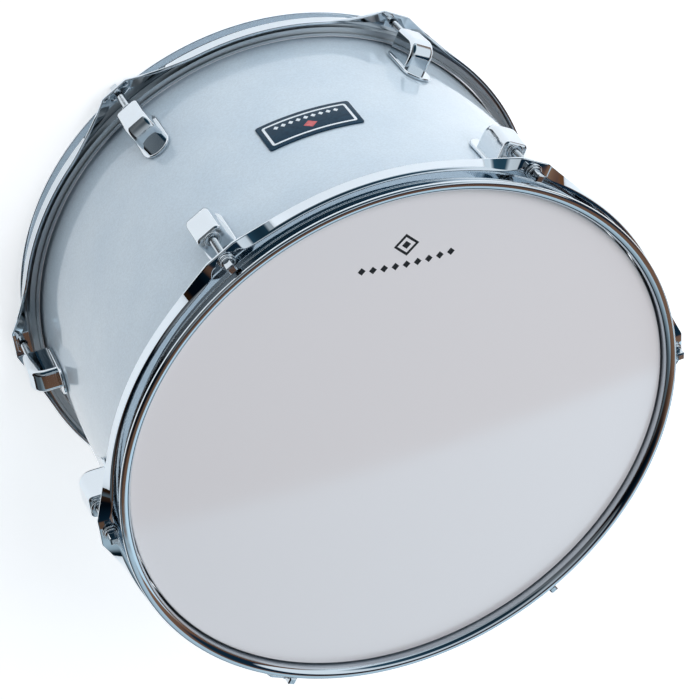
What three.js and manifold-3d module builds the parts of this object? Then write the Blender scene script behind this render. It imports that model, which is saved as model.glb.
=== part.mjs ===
// Two-headed cylindrical drum on its resonant rim, batter head up. Millimetres, +Z along the drum's axis,
// origin at the centre of the lower rim.
import * as THREE from 'three';
import { mergeVertices } from 'three/addons/utils/BufferGeometryUtils.js';
import Module from 'manifold-3d';

const wasm = await Module();
wasm.setup();

// Driving dimensions
const CLEARANCE = 0.3;
const SHELL_LENGTH = 209;
const WRAP_RADIUS = 165.1;
const WRAP_THICKNESS = 0.6;
const WRAP_MARGIN = 4.2;
const PLY_THICKNESS = 5.5;
const BEARING_EDGE_RADIUS = 162.4;
const FILM_THICKNESS = 0.4;
const RIM_RISE = 6.5;
const RING_SEGMENTS = 60;
const FASTENER_SEGMENTS = 8;

const LUG_COUNT = 6;
const LUG_PITCH_DEG = 360 / LUG_COUNT;
const ROD_CIRCLE_RADIUS = 178.4;
const ROD_RADIUS = 2.1;
const ROD_LENGTH = 41.6;
const ROD_COLLAR_RADIUS = 4.0;
const ROD_COLLAR_THICKNESS = 1.3;
const SQUARE_HEAD_WIDTH = 4.9;
const SQUARE_HEAD_HEIGHT = 6.3;
const WASHER_RADIUS = 4.8;
const WASHER_THICKNESS = 1.5;

const HOOP_STEEL = 2.0;
const HOOP_WALL_RADIUS = 167.6;
const LIP_RADIUS = 174.2;
const SKIRT_RADIUS = 176.4;
const EAR_RADIUS = 184.4;
const FLANGE_DEPTH = 5.5;
const EAR_HALF_ANGLE_DEG = 3.2;
const EAR_TAPER_END_DEG = 17;
const EAR_HOLE_RADIUS = 2.9;

const BADGE_WIDTH = 58;
const BADGE_HEIGHT = 27;
const BADGE_THICKNESS = 0.8;
const BADGE_ABOVE_MIDDLE = 6.5;
const BADGE_ANGLE_DEG = -88;
const VENT_ANGLE_DEG = 90;
const VENT_HOLE_RADIUS = 5.2;
const GROMMET_FLANGE_RADIUS = 8.5;
const GROMMET_BORE_RADIUS = 3.6;

// Heights measured from the drum's mid-plane towards either end
const BEARING_EDGE_Z = SHELL_LENGTH / 2;
const FILM_Z = BEARING_EDGE_Z + CLEARANCE + FILM_THICKNESS;
const RIM_Z = FILM_Z + RIM_RISE;
const FLANGE_TOP_Z = FILM_Z - FLANGE_DEPTH;
const FLANGE_BOTTOM_Z = FLANGE_TOP_Z - HOOP_STEEL;
const FLESH_TOP_Z = FLANGE_BOTTOM_Z - CLEARANCE;
const FLESH_HEIGHT = 6.6;
const COLLAR_BOTTOM_Z = FILM_Z - 13.7;
const WASHER_Z = FLANGE_TOP_Z + CLEARANCE;
const ROD_SEAT_Z = WASHER_Z + WASHER_THICKNESS + CLEARANCE;
const LUG_FACE_Z = FILM_Z - 28.5;

const LUG_BASE_RADIUS = WRAP_RADIUS + CLEARANCE;
const LUG_BORE_RADIUS = 4.2;
const LUG_BORE_DEPTH = 20.5;
const NUT_RADIUS = 3.7;
const NUT_BORE_RADIUS = 2.5;
const NUT_LENGTH = 18;

const chrome = { color: 0xc9d3da, roughness: 0.08, metalness: 1.0 };
const looks = {
  shell: { color: 0xb98d5e, roughness: 0.6, metalness: 0 },
  wrap: { color: 0xd3e0ea, roughness: 0.15, metalness: 0 },
  badge: { color: 0x1c2a3c, roughness: 0.3, metalness: 0 },
  grommet: { color: 0xb9bec4, roughness: 0.2, metalness: 1.0 },
  film: { color: 0xe4e4e6, roughness: 0.15, metalness: 0 },
  fleshHoop: { color: 0xaeb4ba, roughness: 0.4, metalness: 1.0 },
};

function part(name, geometry, look) {
  const mesh = new THREE.Mesh(geometry, new THREE.MeshStandardMaterial(look));
  mesh.name = name;
  return mesh;
}

// Boolean operations on closed geometries
function solid(geometry) {
  const bare = new THREE.BufferGeometry();
  bare.setAttribute('position', geometry.getAttribute('position'));
  bare.setIndex(geometry.index);
  const merged = mergeVertices(bare, 1e-4);
  const mesh = new wasm.Mesh({
    numProp: 3,
    vertProperties: new Float32Array(merged.getAttribute('position').array),
    triVerts: new Uint32Array(merged.index.array),
  });
  mesh.merge();
  return new wasm.Manifold(mesh);
}

function toGeometry(manifold) {
  const mesh = manifold.getMesh();
  const geometry = new THREE.BufferGeometry();
  geometry.setAttribute('position', new THREE.BufferAttribute(mesh.vertProperties, 3));
  geometry.setIndex(new THREE.BufferAttribute(mesh.triVerts, 1));
  geometry.computeVertexNormals();
  return geometry;
}

// Ring or disc about Z from [radius, height] points, listed anticlockwise with radius to the right
function turned(points, segments = RING_SEGMENTS) {
  const profile = points.map(([radius, height]) => new THREE.Vector2(radius, height));
  if (points[0][0] > 0) {
    profile.push(profile[0].clone());
  }
  const geometry = new THREE.LatheGeometry(profile, segments);
  geometry.rotateX(Math.PI / 2);
  return geometry;
}

function ringPoints(innerRadius, outerRadius, bottom, top) {
  return [[innerRadius, bottom], [outerRadius, bottom], [outerRadius, top], [innerRadius, top]];
}

function post(radius, bottom, top, segments) {
  const geometry = new THREE.CylinderGeometry(radius, radius, top - bottom, segments);
  geometry.rotateX(Math.PI / 2);
  geometry.translate(0, 0, (bottom + top) / 2);
  return geometry;
}

// Radial hole through the shell at the vent
function ventDrill(radius) {
  const drill = new THREE.CylinderGeometry(radius, radius, 40, 16);
  drill.translate(0, WRAP_RADIUS, 0);
  drill.rotateZ(THREE.MathUtils.degToRad(VENT_ANGLE_DEG - 90));
  return drill;
}

// Ply shell with a 45 degree cut inside each bearing edge and a small round outside
function shellGeometry() {
  const outer = WRAP_RADIUS - WRAP_THICKNESS - CLEARANCE;
  const inner = outer - PLY_THICKNESS;
  const peakWidth = 1.2;
  const insideCut = BEARING_EDGE_RADIUS - peakWidth - inner;
  const outsideRound = outer - BEARING_EDGE_RADIUS;
  const z = BEARING_EDGE_Z;
  const half = [
    [outer, z - outsideRound],
    [BEARING_EDGE_RADIUS, z],
    [BEARING_EDGE_RADIUS - peakWidth, z],
    [inner, z - insideCut],
  ];
  const mirrored = half.map(([radius, height]) => [radius, -height]).reverse();
  const body = solid(turned([...mirrored, ...half]));
  return toGeometry(body.subtract(solid(ventDrill(VENT_HOLE_RADIUS))));
}

function wrapGeometry() {
  const half = BEARING_EDGE_Z - WRAP_MARGIN;
  const sheet = solid(turned(ringPoints(WRAP_RADIUS - WRAP_THICKNESS, WRAP_RADIUS, -half, half)));
  return toGeometry(sheet.subtract(solid(ventDrill(VENT_HOLE_RADIUS))));
}

// Curved name-plate blank: an annular sector extruded along the drum's axis
function badgeGeometry() {
  const inner = WRAP_RADIUS + CLEARANCE;
  const outer = inner + BADGE_THICKNESS;
  const halfAngle = BADGE_WIDTH / outer / 2;
  const middle = THREE.MathUtils.degToRad(BADGE_ANGLE_DEG);
  const sector = new THREE.Shape();
  sector.absarc(0, 0, outer, middle - halfAngle, middle + halfAngle, false);
  sector.absarc(0, 0, inner, middle + halfAngle, middle - halfAngle, true);
  sector.closePath();
  const plate = new THREE.ExtrudeGeometry(sector, {
    depth: BADGE_HEIGHT,
    bevelEnabled: false,
    curveSegments: 10,
  });
  plate.translate(0, 0, BADGE_ABOVE_MIDDLE - BADGE_HEIGHT / 2);
  return plate;
}

// Eyelet through the shell wall, flanged outside and rolled inside; its own axis is local Z
function grommetGeometry() {
  const barrel = VENT_HOLE_RADIUS - CLEARANCE;
  const flangeBottom = WRAP_RADIUS + CLEARANCE;
  const wallInside = WRAP_RADIUS - WRAP_THICKNESS - CLEARANCE - PLY_THICKNESS;
  const rollTop = wallInside * Math.cos(Math.PI / RING_SEGMENTS) - 2 * CLEARANCE;
  const eyelet = turned([
    [GROMMET_BORE_RADIUS, rollTop - 1.2],
    [GROMMET_FLANGE_RADIUS - 1, rollTop - 1.2],
    [GROMMET_FLANGE_RADIUS - 1, rollTop],
    [barrel, rollTop],
    [barrel, flangeBottom],
    [GROMMET_FLANGE_RADIUS, flangeBottom],
    [GROMMET_FLANGE_RADIUS - 1, flangeBottom + 1.3],
    [GROMMET_BORE_RADIUS, flangeBottom + 1.3],
  ], 16);
  eyelet.rotateY(Math.PI / 2);
  eyelet.rotateZ(THREE.MathUtils.degToRad(VENT_ANGLE_DEG));
  return eyelet;
}

// Drum head: flat film, curving over the bearing edge into a collar inside the flesh hoop
function filmGeometry() {
  const collar = 166.3;
  const flat = collar - 1.7;
  const t = FILM_THICKNESS;
  return turned([
    [0, FILM_Z - t],
    [flat - 0.2, FILM_Z - t],
    [collar - t, FILM_Z - 1.9],
    [collar - t, COLLAR_BOTTOM_Z],
    [collar, COLLAR_BOTTOM_Z],
    [collar, FILM_Z - 1.7],
    [flat, FILM_Z],
    [0, FILM_Z],
  ]);
}

function fleshHoopGeometry() {
  return turned(ringPoints(166.6, 172.9, FLESH_TOP_Z - FLESH_HEIGHT, FLESH_TOP_Z));
}

// 0 on the ear, rising to 1 where the long taper has run out
function taperAt(offsetDeg) {
  const run = (Math.abs(offsetDeg) - EAR_HALF_ANGLE_DEG) / (EAR_TAPER_END_DEG - EAR_HALF_ANGLE_DEG);
  const clamped = THREE.MathUtils.clamp(run, 0, 1) ** 0.75;
  return THREE.MathUtils.smoothstep(clamped, 0, 1);
}

// Section of the triple-flanged hoop at an angle from the nearest rod
function hoopSection(offsetDeg) {
  const taper = taperAt(offsetDeg);
  const earEdge = EAR_RADIUS / Math.cos(THREE.MathUtils.degToRad(Math.min(Math.abs(offsetDeg), EAR_HALF_ANGLE_DEG)));
  const outer = THREE.MathUtils.lerp(earEdge, SKIRT_RADIUS, taper);
  const skirtBottom = FLANGE_BOTTOM_Z - THREE.MathUtils.lerp(0.4, 7, taper);
  const wall = HOOP_WALL_RADIUS;
  return [
    [wall, FLANGE_BOTTOM_Z],
    [outer - HOOP_STEEL, FLANGE_BOTTOM_Z],
    [outer - HOOP_STEEL, skirtBottom],
    [outer, skirtBottom],
    [outer, FLANGE_TOP_Z - 0.8],
    [outer - 0.8, FLANGE_TOP_Z],
    [wall + HOOP_STEEL, FLANGE_TOP_Z],
    [wall + HOOP_STEEL, RIM_Z - 2.6],
    [LIP_RADIUS, RIM_Z - 1.8],
    [LIP_RADIUS - 0.6, RIM_Z],
    [wall + 1.2, RIM_Z],
    [wall, RIM_Z - 1.4],
  ];
}

// Sections joined into a closed ring, with the stations closest together around each ear
function hoopGeometry() {
  const near = [EAR_HALF_ANGLE_DEG, 4.8, 7, 10.5, EAR_TAPER_END_DEG, 23];
  const offsets = [-LUG_PITCH_DEG / 2, ...near.map((a) => -a).reverse(), ...near];
  const positions = [];
  for (let lug = 0; lug < LUG_COUNT; lug += 1) {
    for (const offset of offsets) {
      const angle = THREE.MathUtils.degToRad(lug * LUG_PITCH_DEG + offset);
      for (const [radius, height] of hoopSection(offset)) {
        positions.push(radius * Math.cos(angle), radius * Math.sin(angle), height);
      }
    }
  }
  const perSection = hoopSection(0).length;
  const sections = LUG_COUNT * offsets.length;
  const index = [];
  for (let s = 0; s < sections; s += 1) {
    const next = (s + 1) % sections;
    for (let p = 0; p < perSection; p += 1) {
      const q = (p + 1) % perSection;
      const a = s * perSection + p;
      const b = s * perSection + q;
      const c = next * perSection + q;
      const d = next * perSection + p;
      index.push(a, d, b, b, d, c);
    }
  }
  const geometry = new THREE.BufferGeometry();
  geometry.setAttribute('position', new THREE.Float32BufferAttribute(positions, 3));
  geometry.setIndex(index);
  let ring = solid(geometry);
  for (let lug = 0; lug < LUG_COUNT; lug += 1) {
    const angle = THREE.MathUtils.degToRad(lug * LUG_PITCH_DEG);
    const drill = post(EAR_HOLE_RADIUS, FLANGE_BOTTOM_Z - 1, FLANGE_TOP_Z + 1, 10);
    drill.translate(ROD_CIRCLE_RADIUS * Math.cos(angle), ROD_CIRCLE_RADIUS * Math.sin(angle), 0);
    ring = ring.subtract(solid(drill));
  }
  return toGeometry(ring);
}

// Lug casing in its own frame: X across, Y away from the shell, Z towards the hoop, face at Z = 0
function lugGeometry() {
  const length = 26;
  const faceHeight = 18.2;
  const crestHeight = 19.2;
  const endRound = 9.5;
  const section = new THREE.Shape([
    new THREE.Vector2(-8.0, 1),
    new THREE.Vector2(8.0, 1),
    new THREE.Vector2(7.75, 16.6),
    new THREE.Vector2(7.0, 18.5),
    new THREE.Vector2(5.4, crestHeight),
    new THREE.Vector2(-5.4, crestHeight),
    new THREE.Vector2(-7.0, 18.5),
    new THREE.Vector2(-7.75, 16.6),
  ]);
  const tunnel = new THREE.ExtrudeGeometry(section, { depth: length, bevelEnabled: false });
  tunnel.translate(0, 0, -length);

  // Side outline in (distance behind the face, height), with the closed end brought down in an arc
  const arcStart = length - endRound;
  const side = new THREE.Shape();
  side.moveTo(0, 0.8);
  side.lineTo(0, faceHeight);
  side.lineTo(arcStart, crestHeight);
  side.absarc(arcStart, crestHeight - endRound, endRound, Math.PI / 2, 0, true);
  side.lineTo(length, 0.8);
  side.closePath();
  const slab = new THREE.ExtrudeGeometry(side, { depth: 24, bevelEnabled: false, curveSegments: 4 });
  slab.rotateY(Math.PI / 2);
  slab.translate(-12, 0, 0);

  // Base plate with round ends, reaching past the casing towards the hoop and well past its closed end
  const plateEnd = 9.5;
  const plateThickness = 2.0;
  const plateShape = new THREE.Shape();
  plateShape.absarc(0, 5.5, plateEnd, Math.PI, 0, false);
  plateShape.absarc(0, 27, plateEnd, 0, Math.PI, false);
  const plate = new THREE.ExtrudeGeometry(plateShape, {
    depth: plateThickness,
    bevelEnabled: false,
    curveSegments: 5,
  });
  plate.rotateX(-Math.PI / 2);

  const bore = post(LUG_BORE_RADIUS, -LUG_BORE_DEPTH, 1, FASTENER_SEGMENTS);
  bore.translate(0, ROD_CIRCLE_RADIUS - LUG_BASE_RADIUS, 0);
  const casing = solid(tunnel).intersect(solid(slab)).add(solid(plate));
  return toGeometry(casing.subtract(solid(bore)));
}

// Swivel nut on the rod's own axis, with Z = 0 on the lug's face
function nutGeometry() {
  const collarBottom = CLEARANCE / 2;
  return turned([
    [NUT_BORE_RADIUS, -NUT_LENGTH],
    [NUT_RADIUS, -NUT_LENGTH],
    [NUT_RADIUS, collarBottom],
    [NUT_RADIUS + 1.2, collarBottom],
    [NUT_RADIUS + 1.2, collarBottom + 1.4],
    [NUT_BORE_RADIUS, collarBottom + 1.4],
  ], FASTENER_SEGMENTS);
}

function washerGeometry() {
  return turned(ringPoints(ROD_RADIUS + 0.6, WASHER_RADIUS, 0, WASHER_THICKNESS), FASTENER_SEGMENTS);
}

// Tension rod on its own axis, with Z = 0 under the collar
function rodGeometry() {
  const shank = turned([
    [0, -ROD_LENGTH],
    [ROD_RADIUS - 0.7, -ROD_LENGTH],
    [ROD_RADIUS, -ROD_LENGTH + 1],
    [ROD_RADIUS, 0],
    [ROD_COLLAR_RADIUS, 0],
    [ROD_COLLAR_RADIUS, ROD_COLLAR_THICKNESS],
    [0, ROD_COLLAR_THICKNESS],
  ], FASTENER_SEGMENTS);
  const overlap = 0.5;
  const square = new THREE.BoxGeometry(SQUARE_HEAD_WIDTH, SQUARE_HEAD_WIDTH, SQUARE_HEAD_HEIGHT + overlap);
  square.translate(0, 0, ROD_COLLAR_THICKNESS + (SQUARE_HEAD_HEIGHT - overlap) / 2);
  return toGeometry(solid(shank).add(solid(square)));
}

// One end of the drum, built upwards from the mid-plane; turn is +1 at the top and -1 underneath,
// so that the same number names the lugs on one line along the shell
function drumEnd(prefix, turn) {
  const end = new THREE.Group();
  end.add(part(`${prefix}_film`, filmGeometry(), looks.film));
  end.add(part(`${prefix}_flesh_hoop`, fleshHoopGeometry(), looks.fleshHoop));
  end.add(part(`${prefix}_hoop`, hoopGeometry(), chrome));
  for (let lug = 0; lug < LUG_COUNT; lug += 1) {
    const station = new THREE.Group();
    station.rotation.z = turn * THREE.MathUtils.degToRad(lug * LUG_PITCH_DEG) - Math.PI / 2;
    const casing = part(`${prefix}_lug_${lug + 1}`, lugGeometry(), chrome);
    casing.position.set(0, LUG_BASE_RADIUS, LUG_FACE_Z);
    const nut = part(`${prefix}_swivel_nut_${lug + 1}`, nutGeometry(), chrome);
    nut.position.set(0, ROD_CIRCLE_RADIUS, LUG_FACE_Z);
    const washer = part(`${prefix}_washer_${lug + 1}`, washerGeometry(), chrome);
    washer.position.set(0, ROD_CIRCLE_RADIUS, WASHER_Z);
    const rod = part(`${prefix}_tension_rod_${lug + 1}`, rodGeometry(), chrome);
    rod.position.set(0, ROD_CIRCLE_RADIUS, ROD_SEAT_Z);
    station.add(casing, nut, washer, rod);
    end.add(station);
  }
  return end;
}

const drum = new THREE.Group();
drum.position.z = RIM_Z;
drum.add(part('shell', shellGeometry(), looks.shell));
drum.add(part('shell_wrap', wrapGeometry(), looks.wrap));
drum.add(part('badge', badgeGeometry(), looks.badge));
drum.add(part('vent_grommet', grommetGeometry(), looks.grommet));
drum.add(drumEnd('batter', 1));
const resonantEnd = drumEnd('resonant', -1);
resonantEnd.rotation.x = Math.PI;
drum.add(resonantEnd);

const object = new THREE.Group();
object.add(drum);
export default object;
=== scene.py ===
import math

import bpy
from mathutils import Matrix, Quaternion, Vector


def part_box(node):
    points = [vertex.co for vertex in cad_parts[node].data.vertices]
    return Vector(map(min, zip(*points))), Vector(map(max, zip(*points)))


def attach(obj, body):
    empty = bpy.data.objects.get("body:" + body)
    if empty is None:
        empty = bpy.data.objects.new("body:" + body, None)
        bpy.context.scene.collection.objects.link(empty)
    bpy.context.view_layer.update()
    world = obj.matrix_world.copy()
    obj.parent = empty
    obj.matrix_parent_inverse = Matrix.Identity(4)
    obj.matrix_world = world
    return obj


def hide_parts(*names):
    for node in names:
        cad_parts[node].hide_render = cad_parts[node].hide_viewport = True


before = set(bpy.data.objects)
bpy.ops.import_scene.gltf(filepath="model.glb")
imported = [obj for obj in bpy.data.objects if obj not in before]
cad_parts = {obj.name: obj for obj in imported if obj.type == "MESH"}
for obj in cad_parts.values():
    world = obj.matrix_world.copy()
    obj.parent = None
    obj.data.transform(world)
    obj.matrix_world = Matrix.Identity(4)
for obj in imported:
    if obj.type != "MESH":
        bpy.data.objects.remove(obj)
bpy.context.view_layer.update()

MM = 0.001

# ------------------------------------------------------------------------------------------------------------
# Camera. It looks down on the batter head from the badge side, and is rolled over, as when the drum lies on
# its side and is seen from above.
CAMERA_AZIMUTH = math.radians(-67.5)
CAMERA_ELEVATION = math.radians(49.4)
CAMERA_ROLL = math.radians(145.3)
CAMERA_DISTANCE = 1.246
CAMERA_AIM = Vector((-0.005, 0.003, 0.1155))

camera = bpy.data.objects.new("camera", bpy.data.cameras.new("camera"))
camera.data.lens = 103.25
camera.data.sensor_width = 36
away = Vector((
    math.cos(CAMERA_ELEVATION) * math.cos(CAMERA_AZIMUTH),
    math.cos(CAMERA_ELEVATION) * math.sin(CAMERA_AZIMUTH),
    math.sin(CAMERA_ELEVATION),
))
camera.rotation_mode = "QUATERNION"
camera.rotation_quaternion = away.to_track_quat("Z", "Y") @ Quaternion((0, 0, 1), CAMERA_ROLL)
camera.location = CAMERA_AIM + away * CAMERA_DISTANCE
bpy.context.scene.collection.objects.link(camera)
bpy.context.scene.camera = camera

# ------------------------------------------------------------------------------------------------------------
# Ply shell. Six layers of hardwood glued in a ring, with a bearing edge cut at 45 degrees on the inside and
# rounded over outside, where each head sits. It is all under the wrap and the heads.
shell_low, shell_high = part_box("shell")
MIDDLE = (shell_low.z + shell_high.z) / 2
HALF_LENGTH = (shell_high.z - shell_low.z) / 2
SHELL_OUTER = shell_high.x
PLY = 0.92 * MM
SHELL_WALL = 6 * PLY
EDGE_RADIUS = 162.4 * MM
VENT_RADIUS = 5.2 * MM
RING_STEPS = 192


def edit(piece, test=None):
    """Enter edit mode on a piece with the corners that pass the test selected, or all of them."""
    if bpy.context.object and bpy.context.object.mode == "EDIT":
        bpy.ops.object.mode_set(mode="OBJECT")
    bpy.ops.object.select_all(action="DESELECT")
    piece.select_set(True)
    bpy.context.view_layer.objects.active = piece
    bpy.ops.object.mode_set(mode="EDIT")
    bpy.ops.mesh.select_mode(type="VERT")
    bpy.ops.mesh.select_all(action="SELECT" if test is None else "DESELECT")
    if test is not None:
        bpy.ops.object.mode_set(mode="OBJECT")
        for corner in piece.data.vertices:
            corner.select = test(corner.co)
        bpy.ops.object.mode_set(mode="EDIT")


def done():
    bpy.ops.object.mode_set(mode="OBJECT")
    return bpy.context.object


def drawn(name, points, closed=True):
    """Draw an outline from corner to corner by extruding, and leave it selected in edit mode."""
    bpy.ops.object.select_all(action="DESELECT")
    bpy.ops.mesh.primitive_plane_add(size=0.1 * MM, location=points[0])
    bpy.ops.object.transform_apply(location=True)
    piece = bpy.context.object
    piece.name = name
    edit(piece)
    bpy.ops.mesh.merge(type="CENTER")
    route = [*points, points[0]] if closed else points
    for start, end in zip(route, route[1:]):
        step = Vector(end) - Vector(start)
        bpy.ops.mesh.extrude_region_move(TRANSFORM_OT_translate={"value": step})
    bpy.ops.mesh.select_all(action="SELECT")
    bpy.ops.mesh.remove_doubles(threshold=0.001 * MM)
    bpy.ops.mesh.select_all(action="SELECT")
    return piece


def spun(piece, steps=RING_STEPS, turn=2 * math.pi, centre=(0, 0, 0), axis=(0, 0, 1)):
    """Spin the outline in edit mode into a ring or a disc, with its faces outwards."""
    bpy.ops.mesh.spin(steps=steps, angle=turn, center=centre, axis=axis)
    bpy.ops.mesh.select_all(action="SELECT")
    bpy.ops.mesh.remove_doubles(threshold=0.001 * MM)
    bpy.ops.mesh.select_all(action="SELECT")
    bpy.ops.mesh.normals_make_consistent(inside=False)
    return done()


def arc(x, z, radius, start, end, steps=4):
    """Points in the XZ plane on an arc round (x, z), with its angles in degrees."""
    points = []
    for k in range(steps + 1):
        angle = math.radians(start + (end - start) * k / steps)
        points.append((x + radius * math.cos(angle), 0, z + radius * math.sin(angle)))
    return points


def modified(piece, kind, **settings):
    """Add a modifier to a piece and apply it."""
    bpy.ops.object.select_all(action="DESELECT")
    piece.select_set(True)
    bpy.context.view_layer.objects.active = piece
    modifier = piece.modifiers.new(kind.lower(), kind)
    for key, value in settings.items():
        setattr(modifier, key, value)
    bpy.ops.object.modifier_apply(modifier=modifier.name)
    return piece


def cut(piece, tool, operation="DIFFERENCE"):
    """Cut a piece with a tool, or join the two, and use the tool up."""
    modified(piece, "BOOLEAN", object=tool, operation=operation, solver="EXACT")
    bpy.data.objects.remove(tool, do_unlink=True)
    return piece


def smoothed(piece, degrees=35):
    bpy.ops.object.select_all(action="DESELECT")
    piece.select_set(True)
    bpy.context.view_layer.objects.active = piece
    bpy.ops.object.shade_smooth_by_angle(angle=math.radians(degrees))
    return piece


def colour(code):
    """Linear RGBA from an sRGB hex value."""
    channels = [int(code[k:k + 2], 16) / 255 for k in (1, 3, 5)]
    return (*[c / 12.92 if c <= 0.04045 else ((c + 0.055) / 1.055) ** 2.4 for c in channels], 1)


def add_node(tree, kind, inputs=None, **settings):
    """Add a node, with its settings, and set or link its inputs by name or number."""
    node = tree.nodes.new(kind)
    for key, value in settings.items():
        setattr(node, key, value)
    for socket, value in (inputs or {}).items():
        if isinstance(value, bpy.types.NodeSocket):
            tree.links.new(value, node.inputs[socket])
        else:
            node.inputs[socket].default_value = value
    return node


def new_material(name, **shader_inputs):
    """A material with its shader; shader inputs are given as Blender names them, with _ for a space."""
    material = bpy.data.materials.new(name)
    material.use_nodes = True
    shader = material.node_tree.nodes["Principled BSDF"]
    for key, value in shader_inputs.items():
        shader.inputs[key.replace("_", " ")].default_value = value
    return material, material.node_tree, shader


def ramp(tree, factor, *stops):
    """A colour ramp from (position, hex colour) stops."""
    node = add_node(tree, "ShaderNodeValToRGB", {"Fac": factor})
    elements = node.color_ramp.elements
    while len(elements) < len(stops):
        elements.new(1.0)
    for element, (position, code) in zip(elements, stops):
        element.position = position
        element.color = colour(code)
    return node


def vent_drill(radius):
    """A round cutter through the wall where the vent is, at the back."""
    bpy.ops.object.select_all(action="DESELECT")
    bpy.ops.mesh.primitive_cylinder_add(
        vertices=48, radius=radius, depth=40 * MM,
        location=(0, SHELL_OUTER, MIDDLE), rotation=(math.pi / 2, 0, 0))
    bpy.ops.object.transform_apply(location=True, rotation=True)
    return bpy.context.object


inside = SHELL_OUTER - SHELL_WALL
peak = EDGE_RADIUS - 1.2 * MM
top_outline = [
    *arc(SHELL_OUTER - 1.8 * MM, HALF_LENGTH - 1.8 * MM, 1.8 * MM, 0, 90),
    (peak, 0, HALF_LENGTH),
    (inside, 0, HALF_LENGTH - (peak - inside)),
]
outline = top_outline + [(x, 0, -z) for x, _, z in reversed(top_outline)]
shell = drawn("ply_shell", [(x, 0, z + MIDDLE) for x, _, z in outline])
spun(shell)
cut(shell, vent_drill(VENT_RADIUS))
smoothed(shell)

# Poplar and basswood ply, sanded: alternating plies show only on the cut edges, as rings of their real
# thickness.
ply, tree, shader = new_material("sanded_hardwood_ply", Roughness=0.62)
place = add_node(tree, "ShaderNodeTexCoord").outputs["Object"]
axes = add_node(tree, "ShaderNodeSeparateXYZ", {0: place})
flat = add_node(tree, "ShaderNodeCombineXYZ", {0: axes.outputs[0], 1: axes.outputs[1]})
radius = add_node(tree, "ShaderNodeVectorMath", {0: flat.outputs[0]}, operation="LENGTH")
layer = add_node(tree, "ShaderNodeMath", {0: radius.outputs["Value"], 1: 1 / PLY}, operation="MULTIPLY")
odd = add_node(tree, "ShaderNodeMath", {0: layer.outputs[0], 1: 2.0}, operation="MODULO")
stretched = add_node(tree, "ShaderNodeMapping", {0: place, "Scale": (1, 1, 12)})
grain = add_node(tree, "ShaderNodeTexNoise", {"Vector": stretched.outputs[0], "Scale": 60, "Detail": 6})
pale = ramp(tree, grain.outputs[0], (0.3, "#B58A5C"), (0.7, "#CBA67A"))
dark = ramp(tree, grain.outputs[0], (0.3, "#8A6240"), (0.7, "#A37A54"))
even = add_node(tree, "ShaderNodeMath", {0: odd.outputs[0], 1: 1.0}, operation="GREATER_THAN")
plies = add_node(tree, "ShaderNodeMix", {0: even.outputs[0], 6: pale.outputs[0], 7: dark.outputs[0]},
                 data_type="RGBA")
tree.links.new(plies.outputs[2], shader.inputs["Base Color"])
fibre = add_node(tree, "ShaderNodeBump", {"Height": grain.outputs[0], "Strength": 0.3, "Distance": 0.1 * MM})
tree.links.new(fibre.outputs[0], shader.inputs["Normal"])
shell.data.materials.append(ply)
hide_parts("shell")
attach(shell, "shell")

# ------------------------------------------------------------------------------------------------------------
# Wrap. A 0.6 mm sheet of pearl covering, glued round the shell and lapped over itself in one seam on the
# back. It stops short of the bearing edges, under the collars of the heads.
wrap_low, wrap_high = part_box("shell_wrap")
WRAP_OUTER = wrap_high.x
WRAP_SHEET = 0.6 * MM
SEAM_WIDTH = 20 * MM
SEAM_ANGLE = math.radians(118)
SEAM_STEP = 0.35 * MM
SEAM_MARGIN = 11 * MM

wrap_inner = WRAP_OUTER - WRAP_SHEET
corner = 0.2 * MM
wrap = drawn("pearl_wrap", [
    (wrap_inner, 0, wrap_low.z),
    (WRAP_OUTER - corner, 0, wrap_low.z),
    (WRAP_OUTER, 0, wrap_low.z + corner),
    (WRAP_OUTER, 0, wrap_high.z - corner),
    (WRAP_OUTER - corner, 0, wrap_high.z),
    (wrap_inner, 0, wrap_high.z),
])
spun(wrap)
cut(wrap, vent_drill(VENT_RADIUS))
smoothed(wrap)

lap = drawn("wrap_seam_lap", [
    (WRAP_OUTER - 0.1 * MM, 0, wrap_low.z + SEAM_MARGIN),
    (WRAP_OUTER + SEAM_STEP, 0, wrap_low.z + SEAM_MARGIN),
    (WRAP_OUTER + SEAM_STEP, 0, wrap_high.z - SEAM_MARGIN),
    (WRAP_OUTER - 0.1 * MM, 0, wrap_high.z - SEAM_MARGIN),
])
bpy.ops.mesh.edge_face_add()
spun(lap, steps=12, turn=SEAM_WIDTH / WRAP_OUTER)
lap.data.transform(Matrix.Rotation(SEAM_ANGLE, 4, "Z"))
modified(lap, "BEVEL", width=0.15 * MM, segments=2, limit_method="ANGLE", angle_limit=math.radians(50))
smoothed(lap)

# Cellulose pearl: milky flakes under a clear gloss coat. Clouds of 30 mm drift through it, and single flakes
# of about 0.9 mm, drawn a little coarse so that they show, catch the light as a fine sparkle.
pearl, tree, shader = new_material(
    "pearl_covering", Roughness=0.34, Coat_Weight=0.8, Coat_Roughness=0.03, Coat_IOR=1.5)
place = add_node(tree, "ShaderNodeTexCoord").outputs["Object"]
flakes = add_node(tree, "ShaderNodeTexVoronoi", {"Vector": place, "Scale": 1 / (0.9 * MM)})
clouds = add_node(tree, "ShaderNodeTexNoise", {"Vector": place, "Scale": 1 / (30 * MM), "Detail": 4})
cloudy = ramp(tree, clouds.outputs[0], (0.3, "#C3D5E2"), (0.7, "#CCDCE7"))
flake_tone = add_node(tree, "ShaderNodeSeparateColor", {0: flakes.outputs["Color"]})
spark = add_node(tree, "ShaderNodeMapRange",
                 {0: flake_tone.outputs[0], 1: 0.0, 2: 1.0, 3: 0.95, 4: 1.05})
flaked = add_node(tree, "ShaderNodeVectorMath", {0: cloudy.outputs[0], "Scale": spark.outputs[0]},
                  operation="SCALE")
tree.links.new(flaked.outputs[0], shader.inputs["Base Color"])
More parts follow.
